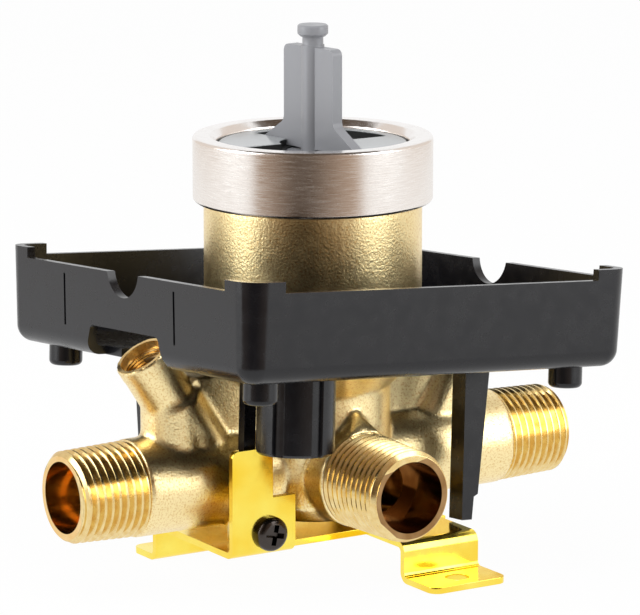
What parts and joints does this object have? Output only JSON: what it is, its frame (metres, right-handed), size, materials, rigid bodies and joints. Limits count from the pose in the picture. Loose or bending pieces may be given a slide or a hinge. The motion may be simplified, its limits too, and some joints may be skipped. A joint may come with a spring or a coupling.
{
  "type": "concealed diverter valve",
  "caption": "In-wall brass diverter valve with four ports, service stops, ceramic-disc cartridge with paddle stem, plaster guard and folded mounting bracket.",
  "frame": {"origin": "on the cartridge axis, in the plane that the bracket's feet stand on", "axes": "+Z along the cartridge axis towards the stem, X through the two supply ports, -Y through the front outlet port"},
  "size_m": [0.1292, 0.1043, 0.1227],
  "materials": {
    "cast_brass": "sand cast, bead blasted",
    "turned_brass": "turned",
    "brushed_nickel": "brushed round",
    "grey_plastic": "glossy moulded",
    "stem_plastic": "satin moulded",
    "white_plastic": "moulded",
    "black_plastic": "satin moulded",
    "black_rubber": "moulded",
    "ceramic": "lapped ceramic",
    "spring_steel": "oiled",
    "yellow_zinc": "yellow zinc plated",
    "black_screw": "black oxide"
  },
  "bodies": {
    "valve": {"valve_body": "cast_brass", "bonnet_nut": "brushed_nickel", "cartridge_cap": "grey_plastic", "cap_oring": "black_rubber", "cartridge_housing": "white_plastic", "housing_oring": "black_rubber", "disc_seal": "black_rubber", "fixed_disc": "ceramic", "plaster_guard": "black_plastic", "mounting_bracket": "yellow_zinc", "front_bracket_screw": "black_screw", "rear_bracket_screw": "black_screw", "left_stop_snap_ring": "spring_steel", "right_stop_snap_ring": "spring_steel"},
    "stem": {"diverter_stem": "stem_plastic", "stem_orings": "black_rubber", "stem_clip": "spring_steel", "disc_driver": "white_plastic", "moving_disc": "ceramic"},
    "left_stop_spindle": {"left_stop_spindle": "turned_brass", "left_stop_oring": "black_rubber"},
    "left_stop_washer": {"left_stop_washer": "black_rubber", "left_stop_washer_holder": "turned_brass"},
    "right_stop_spindle": {"right_stop_spindle": "turned_brass", "right_stop_oring": "black_rubber"},
    "right_stop_washer": {"right_stop_washer": "black_rubber", "right_stop_washer_holder": "turned_brass"}
  },
  "joints": [
    {"name": "stem_turn", "type": "hinge", "parent": "valve", "child": "stem", "pos_m": [0, 0, 0.0963], "axis": [0, 0, 1], "range_deg": [-100, 0]},
    {"name": "left_stop_travel", "type": "slide", "parent": "valve", "child": "left_stop_washer", "axis": [0.5446, 0, -0.8387], "range_m": [0, 0.0026]},
    {"name": "left_stop_turn", "type": "hinge", "parent": "left_stop_washer", "child": "left_stop_spindle", "pos_m": [-0.03902, 0, 0.04397], "axis": [0.5446, 0, -0.8387], "range_deg": [0, 936]},
    {"name": "right_stop_travel", "type": "slide", "parent": "valve", "child": "right_stop_washer", "axis": [-0.5446, 0, -0.8387], "range_m": [0, 0.0026]},
    {"name": "right_stop_turn", "type": "hinge", "parent": "right_stop_washer", "child": "right_stop_spindle", "pos_m": [0.03902, 0, 0.04397], "axis": [-0.5446, 0, -0.8387], "range_deg": [0, 936]}
  ],
  "couplings": [
    {"joint": "left_stop_turn", "follows": "left_stop_travel", "rad_per_m": 6283.2},
    {"joint": "right_stop_turn", "follows": "right_stop_travel", "rad_per_m": 6283.2}
  ]
}
